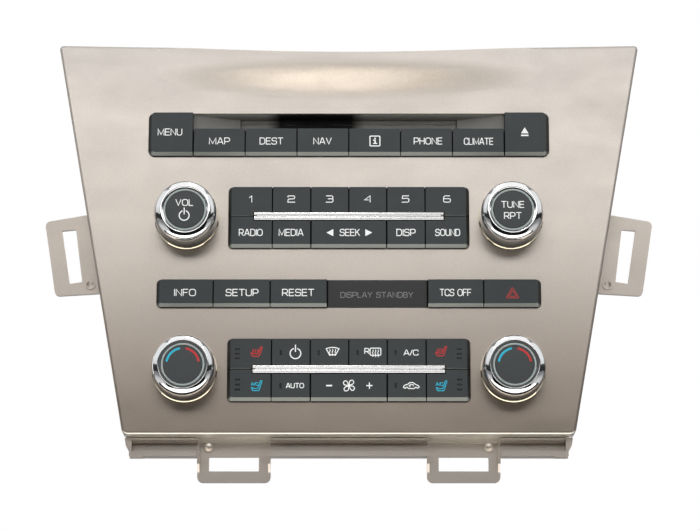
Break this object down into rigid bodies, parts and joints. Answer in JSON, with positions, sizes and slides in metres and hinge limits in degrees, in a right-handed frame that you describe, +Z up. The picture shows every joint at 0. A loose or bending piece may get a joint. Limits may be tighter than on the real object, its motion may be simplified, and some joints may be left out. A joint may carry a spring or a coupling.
{
  "type": "car centre-stack radio and climate control panel",
  "caption": "Tapered car centre-stack radio panel with a disc slot, banks of push keys, bright bars, four rotary knobs and slotted clip ears.",
  "frame": {"origin": "on the dashboard seat plane (rear faces of the clip ears), on the centre line, midway in height of the side-ear slots", "axes": "+X to the right seen from the seats, +Y into the dashboard, +Z up; the key faces look towards -Y"},
  "size_m": [0.3568, 0.0578, 0.2587],
  "materials": {
    "champagne_paint": "satin champagne silver metallic paint on moulded plastic",
    "champagne_frame": "satin champagne silver paint, thinner coat",
    "key_plastic": "satin soft-touch charcoal paint",
    "cap_black": "satin charcoal",
    "black_plastic": "fine grained black moulding",
    "slot_black": "semi-gloss black",
    "lens_black": "smoked satin lens",
    "chrome": "bright chrome on plastic",
    "halo_clear": "frosted translucent",
    "encoder_metal": "plated steel",
    "silicone": "translucent white silicone",
    "board_green": "green solder mask",
    "component_black": "moulded packages",
    "cover_black": "grained black moulding",
    "connector_grey": "grey moulding",
    "screw_steel": "zinc plated"
  },
  "bodies": {
    "panel": {"fascia": "champagne_paint", "mounting_frame": "champagne_frame", "button_carrier": "black_plastic", "slot_trim": "slot_black", "audio_bar": "chrome", "climate_bar": "chrome", "indicator_lens": "lens_black", "halo_rings": "halo_clear", "encoder_bodies": "encoder_metal", "left_temperature_cap": "cap_black", "right_temperature_cap": "cap_black", "key_mat": "silicone", "control_board": "board_green", "board_components": "component_black", "rear_cover": "cover_black", "rear_connector": "connector_grey", "screws": "screw_steel"},
    "menu_key": {"menu_key": "key_plastic"},
    "map_key": {"map_key": "key_plastic"},
    "dest_key": {"dest_key": "key_plastic"},
    "nav_key": {"nav_key": "key_plastic"},
    "info_page_key": {"info_page_key": "key_plastic"},
    "phone_key": {"phone_key": "key_plastic"},
    "climate_key": {"climate_key": "key_plastic"},
    "eject_key": {"eject_key": "key_plastic"},
    "preset_1_key": {"preset_1_key": "key_plastic"},
    "preset_2_key": {"preset_2_key": "key_plastic"},
    "preset_3_key": {"preset_3_key": "key_plastic"},
    "preset_4_key": {"preset_4_key": "key_plastic"},
    "preset_5_key": {"preset_5_key": "key_plastic"},
    "preset_6_key": {"preset_6_key": "key_plastic"},
    "radio_key": {"radio_key": "key_plastic"},
    "media_key": {"media_key": "key_plastic"},
    "seek_rocker": {"seek_rocker": "key_plastic"},
    "display_key": {"display_key": "key_plastic"},
    "sound_key": {"sound_key": "key_plastic"},
    "trip_info_key": {"trip_info_key": "key_plastic"},
    "setup_key": {"setup_key": "key_plastic"},
    "reset_key": {"reset_key": "key_plastic"},
    "traction_key": {"traction_key": "key_plastic"},
    "hazard_key": {"hazard_key": "key_plastic"},
    "left_seat_heat_key": {"left_seat_heat_key": "key_plastic"},
    "climate_power_key": {"climate_power_key": "key_plastic"},
    "front_defrost_key": {"front_defrost_key": "key_plastic"},
    "rear_defrost_key": {"rear_defrost_key": "key_plastic"},
    "air_con_key": {"air_con_key": "key_plastic"},
    "right_seat_heat_key": {"right_seat_heat_key": "key_plastic"},
    "left_seat_cool_key": {"left_seat_cool_key": "key_plastic"},
    "auto_key": {"auto_key": "key_plastic"},
    "fan_rocker": {"fan_rocker": "key_plastic"},
    "recirculation_key": {"recirculation_key": "key_plastic"},
    "right_seat_cool_key": {"right_seat_cool_key": "key_plastic"},
    "volume_button": {"volume_button": "cap_black"},
    "tune_button": {"tune_button": "cap_black"},
    "volume_knob": {"volume_knob": "chrome"},
    "tune_knob": {"tune_knob": "chrome"},
    "left_temperature_knob": {"left_temperature_knob": "chrome"},
    "right_temperature_knob": {"right_temperature_knob": "chrome"}
  },
  "joints": [
    {"name": "menu_key_press", "type": "slide", "parent": "panel", "child": "menu_key", "axis": [0, 1, 0], "range_m": [0, 0.001], "stiffness_N_per_m": 500},
    {"name": "map_key_press", "type": "slide", "parent": "panel", "child": "map_key", "axis": [0, 1, 0], "range_m": [0, 0.001], "stiffness_N_per_m": 500},
    {"name": "dest_key_press", "type": "slide", "parent": "panel", "child": "dest_key", "axis": [0, 1, 0], "range_m": [0, 0.001], "stiffness_N_per_m": 500},
    {"name": "nav_key_press", "type": "slide", "parent": "panel", "child": "nav_key", "axis": [0, 1, 0], "range_m": [0, 0.001], "stiffness_N_per_m": 500},
    {"name": "info_page_key_press", "type": "slide", "parent": "panel", "child": "info_page_key", "axis": [0, 1, 0], "range_m": [0, 0.001], "stiffness_N_per_m": 500},
    {"name": "phone_key_press", "type": "slide", "parent": "panel", "child": "phone_key", "axis": [0, 1, 0], "range_m": [0, 0.001], "stiffness_N_per_m": 500},
    {"name": "climate_key_press", "type": "slide", "parent": "panel", "child": "climate_key", "axis": [0, 1, 0], "range_m": [0, 0.001], "stiffness_N_per_m": 500},
    {"name": "eject_key_press", "type": "slide", "parent": "panel", "child": "eject_key", "axis": [0, 1, 0], "range_m": [0, 0.001], "stiffness_N_per_m": 500},
    {"name": "preset_1_key_press", "type": "slide", "parent": "panel", "child": "preset_1_key", "axis": [0, 1, 0], "range_m": [0, 0.001], "stiffness_N_per_m": 500},
    {"name": "preset_2_key_press", "type": "slide", "parent": "panel", "child": "preset_2_key", "axis": [0, 1, 0], "range_m": [0, 0.001], "stiffness_N_per_m": 500},
    {"name": "preset_3_key_press", "type": "slide", "parent": "panel", "child": "preset_3_key", "axis": [0, 1, 0], "range_m": [0, 0.001], "stiffness_N_per_m": 500},
    {"name": "preset_4_key_press", "type": "slide", "parent": "panel", "child": "preset_4_key", "axis": [0, 1, 0], "range_m": [0, 0.001], "stiffness_N_per_m": 500},
    {"name": "preset_5_key_press", "type": "slide", "parent": "panel", "child": "preset_5_key", "axis": [0, 1, 0], "range_m": [0, 0.001], "stiffness_N_per_m": 500},
    {"name": "preset_6_key_press", "type": "slide", "parent": "panel", "child": "preset_6_key", "axis": [0, 1, 0], "range_m": [0, 0.001], "stiffness_N_per_m": 500},
    {"name": "radio_key_press", "type": "slide", "parent": "panel", "child": "radio_key", "axis": [0, 1, 0], "range_m": [0, 0.001], "stiffness_N_per_m": 500},
    {"name": "media_key_press", "type": "slide", "parent": "panel", "child": "media_key", "axis": [0, 1, 0], "range_m": [0, 0.001], "stiffness_N_per_m": 500},
    {"name": "seek_rocker_rock", "type": "hinge", "parent": "panel", "child": "seek_rocker", "pos_m": [0, -0.0174, 0.0099], "axis": [0, 0, 1], "range_deg": [-2.5, 2.5], "stiffness_Nm_per_rad": 0.9},
    {"name": "display_key_press", "type": "slide", "parent": "panel", "child": "display_key", "axis": [0, 1, 0], "range_m": [0, 0.001], "stiffness_N_per_m": 500},
    {"name": "sound_key_press", "type": "slide", "parent": "panel", "child": "sound_key", "axis": [0, 1, 0], "range_m": [0, 0.001], "stiffness_N_per_m": 500},
    {"name": "trip_info_key_press", "type": "slide", "parent": "panel", "child": "trip_info_key", "axis": [0, 1, 0], "range_m": [0, 0.001], "stiffness_N_per_m": 500},
    {"name": "setup_key_press", "type": "slide", "parent": "panel", "child": "setup_key", "axis": [0, 1, 0], "range_m": [0, 0.001], "stiffness_N_per_m": 500},
    {"name": "reset_key_press", "type": "slide", "parent": "panel", "child": "reset_key", "axis": [0, 1, 0], "range_m": [0, 0.001], "stiffness_N_per_m": 500},
    {"name": "traction_key_press", "type": "slide", "parent": "panel", "child": "traction_key", "axis": [0, 1, 0], "range_m": [0, 0.001], "stiffness_N_per_m": 500},
    {"name": "hazard_key_press", "type": "slide", "parent": "panel", "child": "hazard_key", "axis": [0, 1, 0], "range_m": [0, 0.001], "stiffness_N_per_m": 500},
    {"name": "left_seat_heat_key_press", "type": "slide", "parent": "panel", "child": "left_seat_heat_key", "axis": [0, 1, 0], "range_m": [0, 0.001], "stiffness_N_per_m": 500},
    {"name": "climate_power_key_press", "type": "slide", "parent": "panel", "child": "climate_power_key", "axis": [0, 1, 0], "range_m": [0, 0.001], "stiffness_N_per_m": 500},
    {"name": "front_defrost_key_press", "type": "slide", "parent": "panel", "child": "front_defrost_key", "axis": [0, 1, 0], "range_m": [0, 0.001], "stiffness_N_per_m": 500},
    {"name": "rear_defrost_key_press", "type": "slide", "parent": "panel", "child": "rear_defrost_key", "axis": [0, 1, 0], "range_m": [0, 0.001], "stiffness_N_per_m": 500},
    {"name": "air_con_key_press", "type": "slide", "parent": "panel", "child": "air_con_key", "axis": [0, 1, 0], "range_m": [0, 0.001], "stiffness_N_per_m": 500},
    {"name": "right_seat_heat_key_press", "type": "slide", "parent": "panel", "child": "right_seat_heat_key", "axis": [0, 1, 0], "range_m": [0, 0.001], "stiffness_N_per_m": 500},
    {"name": "left_seat_cool_key_press", "type": "slide", "parent": "panel", "child": "left_seat_cool_key", "axis": [0, 1, 0], "range_m": [0, 0.001], "stiffness_N_per_m": 500},
    {"name": "auto_key_press", "type": "slide", "parent": "panel", "child": "auto_key", "axis": [0, 1, 0], "range_m": [0, 0.001], "stiffness_N_per_m": 500},
    {"name": "fan_rocker_rock", "type": "hinge", "parent": "panel", "child": "fan_rocker", "pos_m": [0, -0.0174, -0.08065], "axis": [0, 0, 1], "range_deg": [-2.5, 2.5], "stiffness_Nm_per_rad": 0.9},
    {"name": "recirculation_key_press", "type": "slide", "parent": "panel", "child": "recirculation_key", "axis": [0, 1, 0], "range_m": [0, 0.001], "stiffness_N_per_m": 500},
    {"name": "right_seat_cool_key_press", "type": "slide", "parent": "panel", "child": "right_seat_cool_key", "axis": [0, 1, 0], "range_m": [0, 0.001], "stiffness_N_per_m": 500},
    {"name": "volume_button_press", "type": "slide", "parent": "panel", "child": "volume_button", "axis": [0, 1, 0], "range_m": [0, 0.0008], "stiffness_N_per_m": 700},
    {"name": "tune_button_press", "type": "slide", "parent": "panel", "child": "tune_button", "axis": [0, 1, 0], "range_m": [0, 0.0008], "stiffness_N_per_m": 700},
    {"name": "volume_knob_turn", "type": "hinge", "parent": "panel", "child": "volume_knob", "pos_m": [-0.0942, -0.0185, 0.0196], "axis": [0, 1, 0], "continuous": true},
    {"name": "tune_knob_turn", "type": "hinge", "parent": "panel", "child": "tune_knob", "pos_m": [0.0942, -0.0185, 0.0196], "axis": [0, 1, 0], "continuous": true},
    {"name": "left_temperature_knob_turn", "type": "hinge", "parent": "panel", "child": "left_temperature_knob", "pos_m": [-0.0942, -0.0185, -0.0707], "axis": [0, 1, 0], "continuous": true},
    {"name": "right_temperature_knob_turn", "type": "hinge", "parent": "panel", "child": "right_temperature_knob", "pos_m": [0.0942, -0.0185, -0.0707], "axis": [0, 1, 0], "continuous": true}
  ]
}
